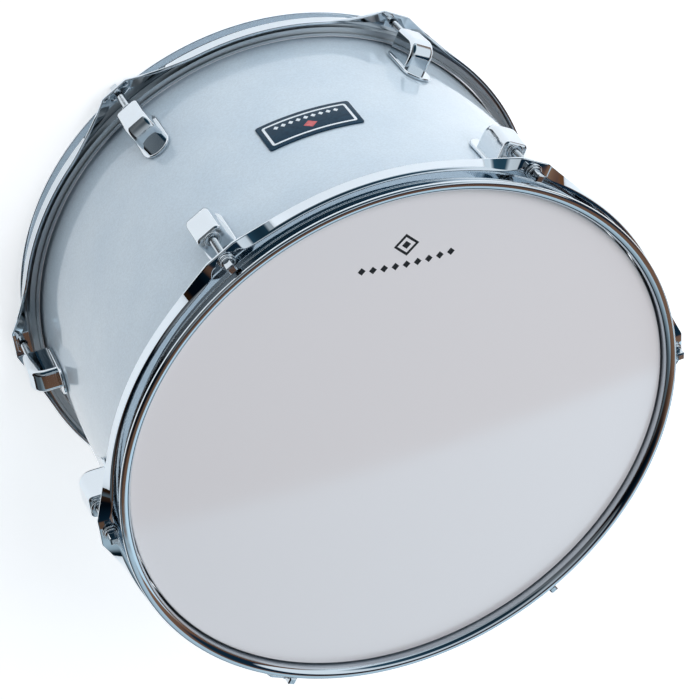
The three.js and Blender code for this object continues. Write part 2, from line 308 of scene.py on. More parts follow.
tilt = add_node(tree, "ShaderNodeBump",
                {"Height": flake_tone.outputs[1], "Strength": 0.12, "Distance": 0.05 * MM})
tree.links.new(tilt.outputs[0], shader.inputs["Normal"])
for piece in (wrap, lap):
    piece.data.materials.append(pearl)
    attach(piece, "shell")
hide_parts("shell_wrap")

# ------------------------------------------------------------------------------------------------------------
# Badge. A thin printed plate curved to the shell, with a silver-white border line. Its motif is a plain red
# lozenge over a row of small white ones.
badge_low, badge_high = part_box("badge")
BADGE_MIDDLE = (badge_low.z + badge_high.z) / 2
BADGE_HEIGHT = badge_high.z - badge_low.z
BADGE_WIDTH = 58 * MM
BADGE_ANGLE = math.radians(-88)
BADGE_FOOT = WRAP_OUTER + 0.05 * MM
BADGE_FACE = WRAP_OUTER + 0.9 * MM
BADGE_CORNER = 1.8 * MM
BORDER_INSET = 3.0 * MM
BORDER_LINE = 1.4 * MM
INK = 0.06 * MM


def bevel_edges(piece, test, offset, segments):
    """Round the edges whose two ends pass the test."""
    if bpy.context.object and bpy.context.object.mode == "EDIT":
        bpy.ops.object.mode_set(mode="OBJECT")
    bpy.context.tool_settings.mesh_select_mode = (False, True, False)
    for face in piece.data.polygons:
        face.select = False
    for corner in piece.data.vertices:
        corner.select = False
    for edge in piece.data.edges:
        edge.select = test(*[piece.data.vertices[k].co for k in edge.vertices])
    bpy.context.view_layer.objects.active = piece
    bpy.ops.object.mode_set(mode="EDIT")
    bpy.ops.mesh.bevel(offset=offset, segments=segments, affect="EDGES")
    done()


def curved_plate(name, width, height, foot, face, corner_radius):
    """A plate bent to the shell in front, with its four corners rounded."""
    plate = drawn(name, [
        (foot, 0, BADGE_MIDDLE - height / 2),
        (face, 0, BADGE_MIDDLE - height / 2),
        (face, 0, BADGE_MIDDLE + height / 2),
        (foot, 0, BADGE_MIDDLE + height / 2),
    ])
    bpy.ops.mesh.edge_face_add()
    turn = width / face
    spun(plate, steps=28, turn=turn)

    def radial_at_end(a, b):
        """True for an edge through the plate's thickness at either end of the spin."""
        through = abs(a.xy.length - b.xy.length) > (face - foot) / 2
        angles = [math.atan2(place.y, place.x) for place in (a, b)]
        return through and all(abs(abs(angle + turn / 2) - turn / 2) < 1e-4 for angle in angles)

    bevel_edges(plate, radial_at_end, corner_radius, 6)
    plate.data.transform(Matrix.Rotation(turn / 2 + BADGE_ANGLE, 4, "Z"))
    return plate


badge = curved_plate("badge_plate", BADGE_WIDTH, BADGE_HEIGHT, BADGE_FOOT, BADGE_FACE, BADGE_CORNER)
modified(badge, "BEVEL", width=0.2 * MM, segments=2, limit_method="ANGLE", angle_limit=math.radians(50))
smoothed(badge)

border_width = BADGE_WIDTH - 2 * BORDER_INSET
border_height = BADGE_HEIGHT - 2 * BORDER_INSET
border = curved_plate("badge_border", border_width, border_height,
                      BADGE_FACE - INK, BADGE_FACE + INK, 1.6 * MM)
field_width = border_width - 2 * BORDER_LINE
field_height = border_height - 2 * BORDER_LINE
inner_field = curved_plate("badge_field_cutter", field_width, field_height,
                           BADGE_FACE - 1 * MM, BADGE_FACE + 1 * MM, 0.9 * MM)
cut(border, inner_field)
smoothed(border)


def lozenge(name, width, height, thickness):
    """A flat diamond in the YZ plane, standing proud along +X."""
    half = thickness / 2
    return drawn(name, [(-half, -width / 2, 0), (-half, 0, -height / 2), (-half, width / 2, 0),
                        (-half, 0, height / 2)])


def raised(thickness):
    """Fill the outline in edit mode and pull it out along +X into a solid."""
    bpy.ops.mesh.edge_face_add()
    bpy.ops.mesh.extrude_region_move(TRANSFORM_OT_translate={"value": (thickness, 0, 0)})
    bpy.ops.mesh.select_all(action="SELECT")
    bpy.ops.mesh.normals_make_consistent(inside=False)
    return done()


def on_shell(piece, across, height):
    """Carry a small flat piece from the origin to the front of the shell."""
    angle = across / BADGE_FACE + BADGE_ANGLE
    turn = Matrix.Rotation(angle, 4, "Z")
    piece.data.transform(turn @ Matrix.Translation((BADGE_FACE, 0, height)))
    return piece


emblem = lozenge("badge_emblem", 8.4 * MM, 7.6 * MM, 2 * INK)
raised(2 * INK)
on_shell(emblem, 0, BADGE_MIDDLE + 2.4 * MM)


def joined(pieces):
    """Join the pieces into the first of them."""
    bpy.ops.object.select_all(action="DESELECT")
    for piece in pieces:
        piece.select_set(True)
    bpy.context.view_layer.objects.active = pieces[0]
    bpy.ops.object.join()
    return bpy.context.object


BEAD_COUNT = 9
BEAD_PITCH = 4.6 * MM
beads = []
for k in range(BEAD_COUNT):
    bead = lozenge(f"badge_bead_{k + 1}", 3.2 * MM, 3.6 * MM, 2 * INK)
    raised(2 * INK)
    on_shell(bead, (k - (BEAD_COUNT - 1) / 2) * BEAD_PITCH, BADGE_MIDDLE - 5.4 * MM)
    beads.append(bead)
row = joined(beads)
row.name = "badge_bead_row"

# Printed aluminium: deep navy ink with a faint mottle and a satin face.
navy, tree, shader = new_material("navy_badge_print", Roughness=0.45, IOR=1.25)
place = add_node(tree, "ShaderNodeTexCoord").outputs["Object"]
mottle = add_node(tree, "ShaderNodeTexNoise", {"Vector": place, "Scale": 1 / (2 * MM), "Detail": 3})
inked = ramp(tree, mottle.outputs[0], (0.3, "#123044"), (0.7, "#1A3D52"))
tree.links.new(inked.outputs[0], shader.inputs["Base Color"])

# Silver-white screen print: a hard satin ink with a fine metallic grain.
silver, tree, shader = new_material("silver_white_print", Roughness=0.35, Metallic=0.25)
place = add_node(tree, "ShaderNodeTexCoord").outputs["Object"]
specks = add_node(tree, "ShaderNodeTexNoise", {"Vector": place, "Scale": 1 / (0.5 * MM), "Detail": 2})
silvery = ramp(tree, specks.outputs[0], (0.35, "#D2DCE3"), (0.65, "#EEF4F8"))
tree.links.new(silvery.outputs[0], shader.inputs["Base Color"])

# Red enamel: thick, glassy and slightly uneven in tone.
red, tree, shader = new_material("red_enamel", Roughness=0.25, Coat_Weight=0.6, Coat_Roughness=0.05)
place = add_node(tree, "ShaderNodeTexCoord").outputs["Object"]
pooled = add_node(tree, "ShaderNodeTexNoise", {"Vector": place, "Scale": 1 / (3 * MM)})
reds = ramp(tree, pooled.outputs[0], (0.3, "#B3262F"), (0.7, "#D23A40"))
tree.links.new(reds.outputs[0], shader.inputs["Base Color"])

for piece, material in ((badge, navy), (border, silver), (emblem, red), (row, silver)):
    piece.data.materials.append(material)
    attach(piece, "shell")
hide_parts("badge")

# ------------------------------------------------------------------------------------------------------------
# Vent grommet. A plated eyelet pressed through shell and wrap at the back, rolled over inside, which lets air
# out of the closed drum.
vent_low, vent_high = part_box("vent_grommet")
VENT_FLANGE = (vent_high.x - vent_low.x) / 2
VENT_BORE = 3.6 * MM
VENT_BARREL = VENT_RADIUS - 0.15 * MM

flange_top = vent_high.y
flange_foot = WRAP_OUTER + 0.05 * MM
roll_foot = vent_low.y
roll_top = SHELL_OUTER - SHELL_WALL - 0.3 * MM
section = [
    (VENT_BORE, roll_foot + 0.6 * MM),
    (VENT_BORE + 0.6 * MM, roll_foot),
    (VENT_FLANGE - 1.6 * MM, roll_foot),
    (VENT_FLANGE - 1.0 * MM, roll_foot + 0.5 * MM),
    (VENT_FLANGE - 1.2 * MM, roll_top),
    (VENT_BARREL, roll_top),
    (VENT_BARREL, flange_foot),
    (VENT_FLANGE, flange_foot),
    (VENT_FLANGE - 0.25 * MM, flange_foot + 0.6 * MM),
    (VENT_FLANGE - 1.2 * MM, flange_top - 0.15 * MM),
    (VENT_FLANGE - 2.4 * MM, flange_top),
    (VENT_BORE + 0.9 * MM, flange_top),
    (VENT_BORE + 0.25 * MM, flange_top - 0.25 * MM),
    (VENT_BORE, flange_top - 0.9 * MM),
]
grommet = drawn("vent_eyelet", [(r, y, MIDDLE) for r, y in section])
spun(grommet, steps=64, centre=(0, 0, MIDDLE), axis=(0, 1, 0))
smoothed(grommet, 50)

# Bright nickel plate on brass: warmer and a little softer than the chrome.
nickel, tree, shader = new_material("nickel_plate", Metallic=1.0)
shader.inputs["Base Color"].default_value = colour("#CFC8BC")
place = add_node(tree, "ShaderNodeTexCoord").outputs["Object"]
rubbed = add_node(tree, "ShaderNodeTexNoise", {"Vector": place, "Scale": 1 / (4 * MM), "Detail": 4})
softness = add_node(tree, "ShaderNodeMapRange", {0: rubbed.outputs[0], 3: 0.10, 4: 0.24})
tree.links.new(softness.outputs[0], shader.inputs["Roughness"])
grommet.data.materials.append(nickel)
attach(grommet, "shell")
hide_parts("vent_grommet")

# ------------------------------------------------------------------------------------------------------------
# Heads. One ply of smooth white polyester film, formed with a collar that turns down over the bearing edge
# into the flesh hoop. The same head is fitted at each end.
film_low, film_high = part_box("batter_film")
FILM_Z = film_high.z - MIDDLE
COLLAR_Z = film_low.z - MIDDLE
COLLAR_RADIUS = film_high.x + 0.6 * MM
FILM = 0.4 * MM
ENDS = {
    "batter": Matrix.Translation((0, 0, MIDDLE)),
    "resonant": Matrix.Translation((0, 0, MIDDLE)) @ Matrix.Rotation(math.pi, 4, "X"),
}


def fitted(pattern, name, place, body, nodes, material):
    """Copy a pattern modelled about the mid-plane to its place, and fix it to its body."""
    piece = pattern.copy()
    piece.data = pattern.data.copy()
    piece.name = name
    piece.data.transform(place)
    bpy.context.scene.collection.objects.link(piece)
    piece.data.materials.clear()
    piece.data.materials.append(material)
    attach(piece, body)
    if nodes:
        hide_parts(*nodes)
    return piece


def used_up(*patterns):
    for pattern in patterns:
        bpy.data.objects.remove(pattern, do_unlink=True)


# The film's round-over has its outside on one arc and its inside on a smaller one about the same centre.
fold = 1.2 * MM
fold_x = COLLAR_RADIUS - fold
fold_z = FILM_Z - fold
outside = arc(fold_x, fold_z, fold, 0, 90, 8)
inside_face = arc(fold_x, fold_z, fold - FILM, 90, 0, 8)
head_pattern = drawn("head_pattern", [
    (0, 0, FILM_Z - FILM),
    *inside_face,
    (COLLAR_RADIUS - FILM, 0, COLLAR_Z),
    (COLLAR_RADIUS, 0, COLLAR_Z),
    *outside,
    (0, 0, FILM_Z),
], closed=False)
spun(head_pattern)
smoothed(head_pattern)

# Polyester film: opaque white and glossy, and very slightly mottled in gloss from rolling.
film_white, tree, shader = new_material(
    "white_polyester_film", IOR=1.6, Coat_Weight=0.9, Coat_Roughness=0.0, Coat_IOR=1.5)
shader.inputs["Base Color"].default_value = colour("#FAF7F8")
place = add_node(tree, "ShaderNodeTexCoord").outputs["Object"]
rolled = add_node(tree, "ShaderNodeTexNoise", {"Vector": place, "Scale": 1 / (25 * MM), "Detail": 5})
gloss = add_node(tree, "ShaderNodeMapRange", {0: rolled.outputs[0], 3: 0.05, 4: 0.11})
tree.links.new(gloss.outputs[0], shader.inputs["Roughness"])
for end, place in ENDS.items():
    fitted(head_pattern, f"{end}_head", place, f"{end}_hoop", [f"{end}_film"], film_white)
used_up(head_pattern)

# ------------------------------------------------------------------------------------------------------------
# Printed mark on the batter head: a plain ringed lozenge with a row of small lozenges under it, in black ink.
MARK_ANGLE = math.radians(-94.3)
MARK_RADIUS = 135.5 * MM
ROW_RADIUS = 123.0 * MM
ROW_COUNT = 9
ROW_PITCH = 6.6 * MM
ROW_SAG = 2.2 * MM
INK_FILM = 0.05 * MM


def laid_flat(piece, along, out):
    """Turn a flat piece to face up, and lay it on the batter head beside the mark's own centre line."""
    face_up = Matrix.Rotation(-math.pi / 2, 4, "Y")
    across = Matrix.Translation((out, along, film_high.z))
    piece.data.transform(Matrix.Rotation(MARK_ANGLE, 4, "Z") @ across @ face_up)
    return piece


def ringed(name, width, height, line):
    """A hollow diamond of the given line width."""
    outer = lozenge(name, width, height, 2 * INK_FILM)
    raised(2 * INK_FILM)
    hollow = lozenge("diamond_cutter", width - 2.2 * line, height - 2.2 * line, 4 * MM)
    raised(4 * MM)
    return cut(outer, hollow)


marks = [laid_flat(ringed("batter_mark", 15 * MM, 14 * MM, 1.9 * MM), 0, MARK_RADIUS)]
centre_mark = lozenge("mark_centre", 5.4 * MM, 5.0 * MM, 2 * INK_FILM)
raised(2 * INK_FILM)
marks.append(laid_flat(centre_mark, 0, MARK_RADIUS))
for k in range(ROW_COUNT):
    offset = k - (ROW_COUNT - 1) / 2
    small = lozenge(f"mark_row_{k + 1}", 4.6 * MM, 4.8 * MM, 2 * INK_FILM)
    raised(2 * INK_FILM)
    lift = ROW_SAG * (2 * offset / ROW_COUNT) ** 2
    marks.append(laid_flat(small, offset * ROW_PITCH, ROW_RADIUS + lift))
head_mark = joined(marks)

# Black screen ink: matt beside the film, a little thin at places.
ink, tree, shader = new_material("black_screen_ink", Roughness=0.42)
place = add_node(tree, "ShaderNodeTexCoord").outputs["Object"]
thin = add_node(tree, "ShaderNodeTexNoise", {"Vector": place, "Scale": 1 / (1.2 * MM), "Detail": 3})
blacks = ramp(tree, thin.outputs[0], (0.35, "#0D0E11"), (0.7, "#1D1F24"))
tree.links.new(blacks.outputs[0], shader.inputs["Base Color"])
head_mark.data.materials.append(ink)
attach(head_mark, "batter_hoop")

# ------------------------------------------------------------------------------------------------------------
# Flesh hoops. The aluminium channel that the film's edge is locked into. The chrome hoop's flange presses on
# it, and it runs round just outside the collar of the head.
flesh_low, flesh_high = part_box("batter_flesh_hoop")
FLESH_INNER = COLLAR_RADIUS + 0.3 * MM
FLESH_OUTER = flesh_high.x
flesh_bottom = flesh_low.z - MIDDLE
flesh_top = flesh_high.z - MIDDLE
bend = 1.2 * MM
groove = 1.5 * MM
flesh_pattern = drawn("flesh_pattern", [
    (FLESH_INNER, 0, flesh_bottom),
    (FLESH_INNER + 1.6 * MM, 0, flesh_bottom),
    (FLESH_INNER + 1.8 * MM, 0, flesh_bottom + groove),
    (FLESH_OUTER - 1.8 * MM, 0, flesh_bottom + groove),
    (FLESH_OUTER - 1.6 * MM, 0, flesh_bottom),
    (FLESH_OUTER, 0, flesh_bottom),
    *arc(FLESH_OUTER - bend, flesh_top - bend, bend, 0, 90),
    *arc(FLESH_INNER + bend, flesh_top - bend, bend, 90, 180),
])
spun(flesh_pattern)
smoothed(flesh_pattern)

# Rolled aluminium: satin, with fine draw lines round the ring, drawn at 0.5 mm so that they show.
satin, tree, shader = new_material("satin_aluminium", Metallic=1.0)
shader.inputs["Base Color"].default_value = colour("#C9CCCE")
place = add_node(tree, "ShaderNodeTexCoord").outputs["Object"]
lines = add_node(tree, "ShaderNodeMapping", {0: place, "Scale": (0.05, 0.05, 1)})
drawn_lines = add_node(tree, "ShaderNodeTexNoise", {"Vector": lines.outputs[0], "Scale": 1 / (0.5 * MM)})
satin_range = add_node(tree, "ShaderNodeMapRange", {0: drawn_lines.outputs[0], 3: 0.28, 4: 0.42})
tree.links.new(satin_range.outputs[0], shader.inputs["Roughness"])
for end, place in ENDS.items():
    fitted(flesh_pattern, f"{end}_flesh_ring", place, f"{end}_hoop", [f"{end}_flesh_hoop"], satin)
used_up(flesh_pattern)

# ------------------------------------------------------------------------------------------------------------
# Hoops. Pressed steel with three flanges, chromed: a lip turned out at the top, a wall, and a flat flange
# with a turned-down skirt. At each rod the flange widens into an ear with a hole.
hoop_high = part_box("batter_hoop")[1]
RIM_Z = hoop_high.z - MIDDLE
WALL_RADIUS = 167.6 * MM
LIP_RADIUS = 174.2 * MM
BEND_RADIUS = 174.0 * MM
SKIRT_RADIUS = hoop_high.y
EAR_RADIUS = 184.4 * MM
STEEL = 2.0 * MM
FLANGE_Z = FILM_Z - 5.5 * MM
SKIRT_DEPTH = 9.0 * MM
SKIRT_BEND = SKIRT_RADIUS - BEND_RADIUS
EAR_HALF_ANGLE = 2.8
FLARE_END = 17.0
LUG_COUNT = 6
LUG_PITCH = 360 / LUG_COUNT
STATIONS_PER_LUG = 80
ROD_CIRCLE = 178.4 * MM
EAR_HOLE = 2.9 * MM


def hoop_section(degrees):
    """Points round the steel at an angle from the nearest rod: wall, lip, flange, and the skirt, which leans
    and runs out as it nears the ear."""
    off = abs(degrees)
    run_out = min(max((off - EAR_HALF_ANGLE) / (FLARE_END - EAR_HALF_ANGLE), 0), 1)
    flare = (1 - run_out) ** 1.8
    ear = EAR_RADIUS / math.cos(math.radians(min(off, EAR_HALF_ANGLE)))
    edge = SKIRT_RADIUS + (ear - SKIRT_RADIUS) * flare
    fall = SKIRT_DEPTH * (1 - flare) + 0.3 * MM * flare
    bend_start = min(BEND_RADIUS + 16 * MM * math.exp(-off / 2), edge - SKIRT_BEND)

    # The skirt leaves its bend on the line that ends at (edge, fall)
    across = edge - bend_start
    down = SKIRT_BEND - fall
    lean = math.atan2(across, down) - math.acos(SKIRT_BEND / math.hypot(across, down))
    along = Vector((math.cos(lean), 0, -math.sin(lean)))
    outward = Vector((math.sin(lean), 0, math.cos(lean)))
    foot = Vector((edge, 0, FLANGE_Z - fall))
    round_off = 0.7 * MM
    outer_corner = foot - round_off * (along + outward)
    inner_corner = foot - round_off * along - (STEEL - round_off) * outward
    lean = math.degrees(lean)
    flange_foot = FLANGE_Z - STEEL
    lip_bend = 3.8 * MM
    lip_edge = 1.5 * MM
    lip_under = 0.5 * MM
    root = 0.8 * MM
    return [
        *arc(WALL_RADIUS + 0.6 * MM, flange_foot + 0.6 * MM, 0.6 * MM, 270, 180),
        *arc(WALL_RADIUS + lip_bend, RIM_Z - lip_bend, lip_bend, 180, 90, 8),
        *arc(LIP_RADIUS - lip_edge, RIM_Z - lip_edge, lip_edge, 90, 0, 6),
        *arc(LIP_RADIUS - lip_under, RIM_Z - STEEL + lip_under, lip_under, 0, -90, 3),
        *arc(WALL_RADIUS + STEEL + root, RIM_Z - STEEL - root, root, 90, 180),
        *arc(WALL_RADIUS + STEEL + root, FLANGE_Z + root, root, 180, 270),
        *arc(bend_start, FLANGE_Z - SKIRT_BEND, SKIRT_BEND, 90, 90 - lean, 6),
        *arc(outer_corner.x, outer_corner.z, round_off, 90 - lean, -lean),
        *arc(inner_corner.x, inner_corner.z, round_off, -lean, -90 - lean),
        *arc(bend_start, FLANGE_Z - SKIRT_BEND, SKIRT_BEND - STEEL, 90 - lean, 90, 3),
    ]


hoop_pattern = drawn("hoop_pattern", hoop_section(LUG_PITCH / 2))
bpy.ops.mesh.spin(steps=STATIONS_PER_LUG, angle=math.radians(LUG_PITCH), center=(0, 0, 0), axis=(0, 0, 1))
bpy.ops.mesh.select_all(action="SELECT")
bpy.ops.mesh.remove_doubles(threshold=0.001 * MM)
done()
hoop_pattern.data.transform(Matrix.Rotation(math.radians(LUG_PITCH / 2), 4, "Z"))

# Each station of the plain stretch is then pressed to the section that belongs there. The stations crowd
# towards the ear, where the shape changes fastest.
plain_section = hoop_section(LUG_PITCH / 2)
pressed_sections = {}
for corner in hoop_pattern.data.vertices:
    place = Vector((corner.co.xy.length, 0, corner.co.z))
    gaps = [(Vector(point) - place).length_squared for point in plain_section]
    number = gaps.index(min(gaps))
    share = math.degrees(math.atan2(corner.co.y, corner.co.x)) / (LUG_PITCH / 2)
    degrees = round(LUG_PITCH / 2 * share * (0.35 + 0.65 * abs(share)), 5)
    if degrees not in pressed_sections:
        pressed_sections[degrees] = hoop_section(degrees)
    x, _, z = pressed_sections[degrees][number]
    angle = math.radians(degrees)
    corner.co = (x * math.cos(angle), x * math.sin(angle), z)

# Six such stretches make the ring; the rod holes are punched through the ears last.
stretches = [hoop_pattern]
for k in range(1, LUG_COUNT):
    stretch = hoop_pattern.copy()
    stretch.data = hoop_pattern.data.copy()
    stretch.data.transform(Matrix.Rotation(math.radians(k * LUG_PITCH), 4, "Z"))
    bpy.context.scene.collection.objects.link(stretch)
    stretches.append(stretch)
joined(stretches)
edit(hoop_pattern)
bpy.ops.mesh.remove_doubles(threshold=0.01 * MM)
bpy.ops.mesh.select_all(action="SELECT")
bpy.ops.mesh.normals_make_consistent(inside=False)
done()
for k in range(LUG_COUNT):
    angle = math.radians(k * LUG_PITCH)
    bpy.ops.object.select_all(action="DESELECT")
    bpy.ops.mesh.primitive_cylinder_add(
        vertices=32, radius=EAR_HOLE, depth=3 * STEEL,
        location=(ROD_CIRCLE * math.cos(angle), ROD_CIRCLE * math.sin(angle), FLANGE_Z))
    cut(hoop_pattern, bpy.context.object)
modified(hoop_pattern, "BEVEL", width=0.25 * MM, segments=2, limit_method="ANGLE",
         angle_limit=math.radians(70))
smoothed(hoop_pattern, 40)
modified(hoop_pattern, "WEIGHTED_NORMAL", keep_sharp=True)


def chrome_plate(name, tint, ripple_size, ripple, low, high):
    """Bright chromium over nickel: a mirror with wipe marks in its gloss and the ripple of the metal."""
    material, nodes, metal = new_material(name, Metallic=1.0)
    metal.inputs["Base Color"].default_value = colour(tint)
    position = add_node(nodes, "ShaderNodeTexCoord").outputs["Object"]
    wiped = add_node(nodes, "ShaderNodeTexNoise", {"Vector": position, "Scale": 1 / (9 * MM), "Detail": 5})
    polish = add_node(nodes, "ShaderNodeMapRange", {0: wiped.outputs[0], 1: 0.35, 2: 0.7, 3: low, 4: high})
    nodes.links.new(polish.outputs[0], metal.inputs["Roughness"])
    waves = add_node(nodes, "ShaderNodeTexNoise", {"Vector": position, "Scale": 1 / ripple_size, "Detail": 1})
    relief = add_node(nodes, "ShaderNodeBump",
                      {"Height": waves.outputs[0], "Strength": 1.0, "Distance": ripple})
    nodes.links.new(relief.outputs[0], metal.inputs["Normal"])
    return material


# Chrome on pressed steel keeps a slight long ripple from the press tools.
hoop_chrome = chrome_plate("chrome_on_pressed_steel", "#D2DAE0", 22 * MM, 0.06 * MM, 0.02, 0.07)
for end, place in ENDS.items():
    fitted(hoop_pattern, f"{end}_rim", place, f"{end}_hoop", [f"{end}_hoop"], hoop_chrome)
used_up(hoop_pattern)

# ------------------------------------------------------------------------------------------------------------
# Lugs. Hollow zinc castings, chromed, each with an oblong base drawn down on the shell by two screws from
# inside. The closed end is domed, and the open face holds the swivel nut.
lug_low, lug_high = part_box("batter_lug_1")
LUG_BASE = lug_low.x - 0.2 * MM
LUG_HEIGHT = lug_high.x - LUG_BASE
LUG_FACE = FILM_Z - 28.5 * MM
CASING_LENGTH = 26 * MM
CASING_WIDTH = 15.8 * MM
FACE_DROP = 1.0 * MM
END_ROUND = 9.5 * MM
SHOULDER = 3.0 * MM
FACE_ROUND = 1.9 * MM
BASE_THICKNESS = 2.2 * MM
BASE_RADIUS = 9.5 * MM
BASE_OVERHANG = 4.0 * MM
BASE_LENGTH = 40.5 * MM
LUG_BORE = 4.0 * MM
LUG_BORE_DEPTH = 20 * MM
NUT_AXIS = ROD_CIRCLE - LUG_BASE

# The pattern lies with X away from the shell, Y across and Z towards the hoop, with its face at Z = 0. The
# block starts below the base, so that no rounding reaches its foot.
below = 3 * MM
bpy.ops.object.select_all(action="DESELECT")
bpy.ops.mesh.primitive_cube_add(size=1, location=((LUG_HEIGHT - below) / 2, 0, -CASING_LENGTH / 2))
lug_pattern = bpy.context.object
lug_pattern.scale = (LUG_HEIGHT + below, CASING_WIDTH, CASING_LENGTH)
bpy.ops.object.transform_apply(location=True, scale=True)
closed_end = 1 * MM - CASING_LENGTH
bevel_edges(lug_pattern, lambda a, b: min(a.x, b.x) > 0 and max(a.z, b.z) < closed_end, END_ROUND, 10)
edit(lug_pattern, lambda place: place.x > LUG_HEIGHT - 0.1 * MM and place.z > -1 * MM)
bpy.ops.transform.translate(value=(-FACE_DROP, 0, 0))
done()


def on_shoulder(a, b):
    """True for the edges along one side: the outer corner, the closed end's curve and its upright corner."""
    same_side = a.y * b.y > 0
    on_face = max(abs(a.z), abs(b.z)) < 0.1 * MM
    on_foot = max(a.x, b.x) < 0
    return same_side and not on_face and not on_foot


bevel_edges(lug_pattern, on_shoulder, SHOULDER, 6)
bevel_edges(lug_pattern, lambda a, b: min(a.z, b.z) > -0.1 * MM and max(a.x, b.x) > 0, FACE_ROUND, 5)
edit(lug_pattern)
bpy.ops.mesh.bisect(plane_co=(0.4 * MM, 0, 0), plane_no=(1, 0, 0), clear_inner=True, use_fill=True)
done()

# The base is a straight bar with round ends, its top edge eased.
bar_ends = (BASE_OVERHANG - BASE_RADIUS, BASE_OVERHANG - BASE_LENGTH + BASE_RADIUS)
base_outline = []
for bar_end, first in zip(bar_ends, (90, -90)):
    for k in range(21):
        angle = math.radians(first - 9 * k)
        base_outline.append((0, BASE_RADIUS * math.sin(angle), bar_end + BASE_RADIUS * math.cos(angle)))
base = drawn("lug_base", base_outline)
raised(BASE_THICKNESS)
modified(base, "BEVEL", width=0.8 * MM, segments=4, limit_method="ANGLE", angle_limit=math.radians(60))
cut(lug_pattern, base, "UNION")
bpy.ops.object.select_all(action="DESELECT")
bpy.ops.mesh.primitive_cylinder_add(
    vertices=48, radius=LUG_BORE, depth=2 * LUG_BORE_DEPTH, location=(NUT_AXIS, 0, 0))
cut(lug_pattern, bpy.context.object)
smoothed(lug_pattern, 40)
modified(lug_pattern, "WEIGHTED_NORMAL", keep_sharp=True)


def station(end, number):
    """The place of a lug's axis system about the drum's axis, at one end."""
    side = 1 if end == "batter" else -1
    return ENDS[end] @ Matrix.Rotation(side * math.radians((number - 1) * LUG_PITCH), 4, "Z")


# Chrome on a polished zinc casting is softer in its ripple than pressed steel.
lug_chrome = chrome_plate("chrome_on_zinc_casting", "#D6DDE2", 14 * MM, 0.05 * MM, 0.03, 0.09)
STATIONS = [(end, number) for end in ENDS for number in range(1, LUG_COUNT + 1)]
lug_place = Matrix.Translation((LUG_BASE, 0, LUG_FACE))
for end, number in STATIONS:
    fitted(lug_pattern, f"{end}_lug_casing_{number}", station(end, number) @ lug_place, "shell",
           [f"{end}_lug_{number}"], lug_chrome)
used_up(lug_pattern)

# ------------------------------------------------------------------------------------------------------------
# Swivel nuts. Turned steel sleeves with a collar that shows in the lug's face, tapped for the rod.
NUT_RADIUS = 3.7 * MM
NUT_BORE = 2.3 * MM
NUT_LENGTH = 18 * MM
nut_pattern = drawn("nut_pattern", [
    (NUT_BORE, 0, -NUT_LENGTH),
    (NUT_RADIUS - 0.4 * MM, 0, -NUT_LENGTH),
    (NUT_RADIUS, 0, -NUT_LENGTH + 0.4 * MM),
    (NUT_RADIUS, 0, 0.1 * MM),
    (NUT_RADIUS + 0.9 * MM, 0, 0.1 * MM),
    *arc(NUT_RADIUS + 0.6 * MM, 0.75 * MM, 0.6 * MM, -60, 80, 5),
    (NUT_RADIUS - 0.3 * MM, 0, 1.55 * MM),
    (NUT_BORE + 0.6 * MM, 0, 1.45 * MM),
    (NUT_BORE, 0, 0.9 * MM),
])
spun(nut_pattern, steps=48)
smoothed(nut_pattern)
nut_place = Matrix.Translation((ROD_CIRCLE, 0, LUG_FACE))

# Bright zinc-and-chrome plate on turned steel: a fine tool mark dulls it slightly.
bright_steel = chrome_plate("bright_plated_steel", "#C9D0D5", 5 * MM, 0.02 * MM, 0.06, 0.16)
for end, number in STATIONS:
    fitted(nut_pattern, f"{end}_nut_{number}", station(end, number) @ nut_place, "shell",
           [f"{end}_swivel_nut_{number}"], bright_steel)
used_up(nut_pattern)

# ------------------------------------------------------------------------------------------------------------
# Tension rods. Steel screws with a square key head, a collar and a rolled thread of 1.06 mm pitch.
rod_low, rod_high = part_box("batter_tension_rod_1")
ROD_TIP_Z = rod_low.z - MIDDLE
ROD_TOP_Z = rod_high.z - MIDDLE
ROD_RADIUS = 2.1 * MM
COLLAR = 4.0 * MM
COLLAR_THICKNESS = 1.3 * MM
SQUARE = 4.9 * MM
SQUARE_HEIGHT = 6.3 * MM
THREAD_PITCH = 1.058 * MM
THREAD_DEPTH = 0.3 * MM
SEAT_Z = ROD_TOP_Z - SQUARE_HEIGHT - COLLAR_THICKNESS
PLAIN_SHANK = 5 * MM

threads = []
turns = int((SEAT_Z - PLAIN_SHANK - ROD_TIP_Z - 1.2 * MM) / THREAD_PITCH)
for k in range(turns):
    z = ROD_TIP_Z + 1.2 * MM + k * THREAD_PITCH
    threads.append((ROD_RADIUS - THREAD_DEPTH, 0, z))
    threads.append((ROD_RADIUS, 0, z + THREAD_PITCH / 2))
rod_pattern = drawn("rod_pattern", [
    (0, 0, ROD_TIP_Z),
    (ROD_RADIUS - 0.7 * MM, 0, ROD_TIP_Z),
    *threads,
    (ROD_RADIUS - 0.1 * MM, 0, SEAT_Z - PLAIN_SHANK),
    (ROD_RADIUS - 0.1 * MM, 0, SEAT_Z),
    (COLLAR - 0.3 * MM, 0, SEAT_Z),
    (COLLAR, 0, SEAT_Z + 0.3 * MM),
    (COLLAR, 0, SEAT_Z + 0.7 * MM),
    *arc(COLLAR - 0.6 * MM, SEAT_Z + 0.7 * MM, 0.6 * MM, 15, 90),
    (0, 0, SEAT_Z + COLLAR_THICKNESS),
], closed=False)
spun(rod_pattern, steps=32)

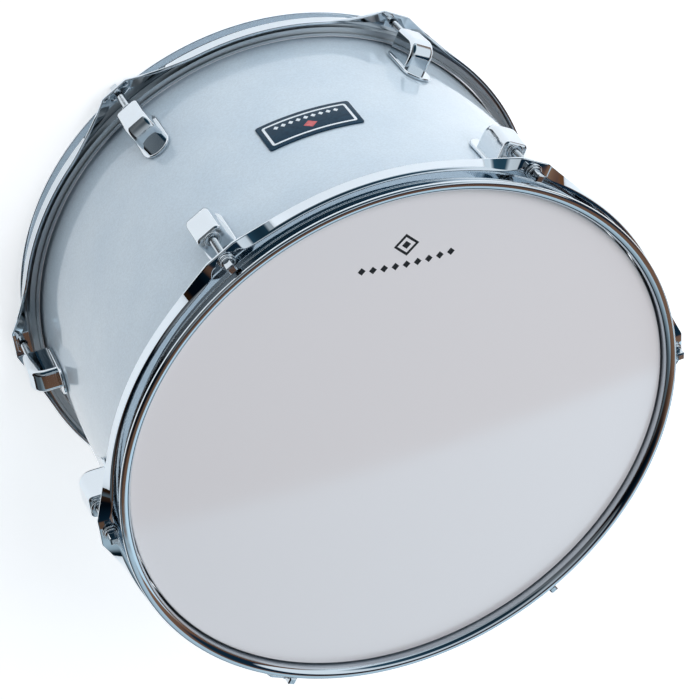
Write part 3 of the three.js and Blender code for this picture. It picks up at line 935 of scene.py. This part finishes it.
bpy.ops.object.select_all(action="DESELECT")
bpy.ops.mesh.primitive_cube_add(size=1, location=(0, 0, ROD_TOP_Z - (SQUARE_HEIGHT + 0.5 * MM) / 2))
bpy.context.object.scale = (SQUARE, SQUARE, SQUARE_HEIGHT + 0.5 * MM)
bpy.ops.object.transform_apply(location=True, scale=True)
square = bpy.context.object
bevel_edges(square, lambda a, b: a.x * b.x > 0 and a.y * b.y > 0, 0.7 * MM, 4)
edit(square, lambda place: place.z > ROD_TOP_Z - 0.1 * MM)
bpy.ops.mesh.inset(thickness=0.8 * MM)
done()
edit(square, lambda place: place.z > ROD_TOP_Z - 0.1 * MM
     and max(abs(place.x), abs(place.y)) > SQUARE / 2 - 0.4 * MM)
bpy.ops.transform.translate(value=(0, 0, -0.7 * MM))
done()
cut(rod_pattern, square, "UNION")
smoothed(rod_pattern, 30)
rod_place = Matrix.Translation((ROD_CIRCLE, 0, 0))
for end, number in STATIONS:
    fitted(rod_pattern, f"{end}_key_rod_{number}", station(end, number) @ rod_place, f"{end}_rod_{number}",
           [f"{end}_tension_rod_{number}"], bright_steel)
used_up(rod_pattern)

# ------------------------------------------------------------------------------------------------------------
# Washers. A stamped steel washer under each rod's collar, one edge rounded by the press.
washer_low, washer_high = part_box("batter_washer_1")
WASHER_Z = washer_low.z - MIDDLE
WASHER_TOP = washer_high.z - MIDDLE
WASHER_RADIUS = 4.8 * MM
WASHER_BORE = 2.5 * MM
washer_pattern = drawn("washer_pattern", [
    (WASHER_BORE, 0, WASHER_Z),
    (WASHER_RADIUS - 0.2 * MM, 0, WASHER_Z),
    (WASHER_RADIUS, 0, WASHER_Z + 0.2 * MM),
    *arc(WASHER_RADIUS - 0.5 * MM, WASHER_TOP - 0.5 * MM, 0.5 * MM, 0, 90),
    (WASHER_BORE + 0.3 * MM, 0, WASHER_TOP),
    (WASHER_BORE, 0, WASHER_TOP - 0.3 * MM),
])
spun(washer_pattern, steps=48)
smoothed(washer_pattern)
for end, number in STATIONS:
    fitted(washer_pattern, f"{end}_flat_washer_{number}", station(end, number) @ rod_place, f"{end}_hoop",
           [f"{end}_washer_{number}"], bright_steel)
used_up(washer_pattern)

# ------------------------------------------------------------------------------------------------------------
# Studio. A pale table lit through from below, a broad soft key from above the badge side with a fill behind,
# and a room that gives the chrome a window wall, a dark ceiling, a white wall and a dark skirting.
TABLE_SIZE = 14
bpy.ops.object.select_all(action="DESELECT")
bpy.ops.mesh.primitive_plane_add(size=TABLE_SIZE, location=(0, 0, 0))
table = bpy.context.object
table.name = "studio_table"
table_paint, tree, shader = new_material("pale_table_paint", Roughness=0.8, Emission_Strength=0.6)
shader.inputs["Base Color"].default_value = colour("#F2F3F4")
shader.inputs["Emission Color"].default_value = colour("#FBFCFD")
table.data.materials.append(table_paint)


def soft_light(name, location, size, power, tint):
    """A round area light turned to the middle of the drum, which the chrome doesn't mirror."""
    light = bpy.data.lights.new(name, "AREA")
    light.shape = "DISK"
    light.size = size
    light.energy = power
    light.color = colour(tint)[:3]
    holder = bpy.data.objects.new(name, light)
    holder.location = location
    holder.rotation_mode = "QUATERNION"
    holder.rotation_quaternion = (Vector(location) - Vector((0, 0, MIDDLE))).to_track_quat("Z", "Y")
    holder.visible_camera = False
    holder.visible_glossy = False
    bpy.context.scene.collection.objects.link(holder)


soft_light("badge_side_key", (-0.7, -1.4, 1.9), 1.6, 24, "#FDFCFF")
soft_light("back_fill", (-0.6, 1.9, 1.5), 1.4, 12, "#FFFFFF")

world = bpy.data.worlds.new("studio_room")
bpy.context.scene.world = world
world.use_nodes = True
tree = world.node_tree
direction = add_node(tree, "ShaderNodeTexCoord").outputs["Generated"]
axes = add_node(tree, "ShaderNodeSeparateXYZ", {0: direction})

# Overhead, the room changes in straight bands: window wall, brown beam, dark ceiling, white wall, and the
# dark end of the room.
CEILING_EDGE = Vector((-0.095, -0.753, 0.651))
along = add_node(tree, "ShaderNodeVectorMath", {0: direction, 1: CEILING_EDGE}, operation="DOT_PRODUCT")
share = add_node(tree, "ShaderNodeMapRange", {0: along.outputs["Value"], 1: -1.0, 2: 1.0})
overhead = ramp(tree, share.outputs[0], (0.0, "#D3ECFB"), (0.498, "#D3ECFB"), (0.502, "#8A6A55"),
                (0.57, "#6B4F42"), (0.60, "#152B3A"), (0.735, "#12283A"), (0.755, "#EAF1F7"),
                (0.90, "#E6EEF5"), (0.94, "#2C4C5E"), (1.0, "#223C4C"))

# Near the horizon it is navy behind, brown to the sides and pale in front.
sideways = add_node(tree, "ShaderNodeMath", {0: axes.outputs[0]}, operation="ABSOLUTE")
to_side = add_node(tree, "ShaderNodeMapRange", {0: sideways.outputs[0], 1: 0.70, 2: 0.85})
dark_band = add_node(tree, "ShaderNodeMix", {0: to_side.outputs[0], 6: colour("#12303F"),
                                             7: colour("#6E4A32")}, data_type="RGBA")
to_front = add_node(tree, "ShaderNodeMapRange", {0: axes.outputs[1], 1: -0.45, 2: -0.65})
skirting = add_node(tree, "ShaderNodeMix", {0: to_front.outputs[0], 6: dark_band.outputs[2],
                                            7: colour("#DCE7EF")}, data_type="RGBA")
above = add_node(tree, "ShaderNodeMapRange", {0: axes.outputs[2], 1: 0.14, 2: 0.30})
walls = add_node(tree, "ShaderNodeMix", {0: above.outputs[0], 6: skirting.outputs[2], 7: overhead.outputs[0]},
                 data_type="RGBA")
dim_side = add_node(tree, "ShaderNodeMapRange", {0: axes.outputs[0], 1: -0.5, 2: 0.6, 3: 1.0, 4: 0.12})
room = add_node(tree, "ShaderNodeVectorMath", {0: walls.outputs[2], "Scale": dim_side.outputs[0]},
                operation="SCALE")
seen = add_node(tree, "ShaderNodeLightPath").outputs["Is Camera Ray"]
backdrop = add_node(tree, "ShaderNodeMix", {0: seen, 6: room.outputs[0], 7: colour("#F0F1F3")},
                    data_type="RGBA")
background = tree.nodes["Background"]
tree.links.new(backdrop.outputs[2], background.inputs["Color"])
background.inputs["Strength"].default_value = 1.15
bpy.context.scene.view_settings.view_transform = "Standard"
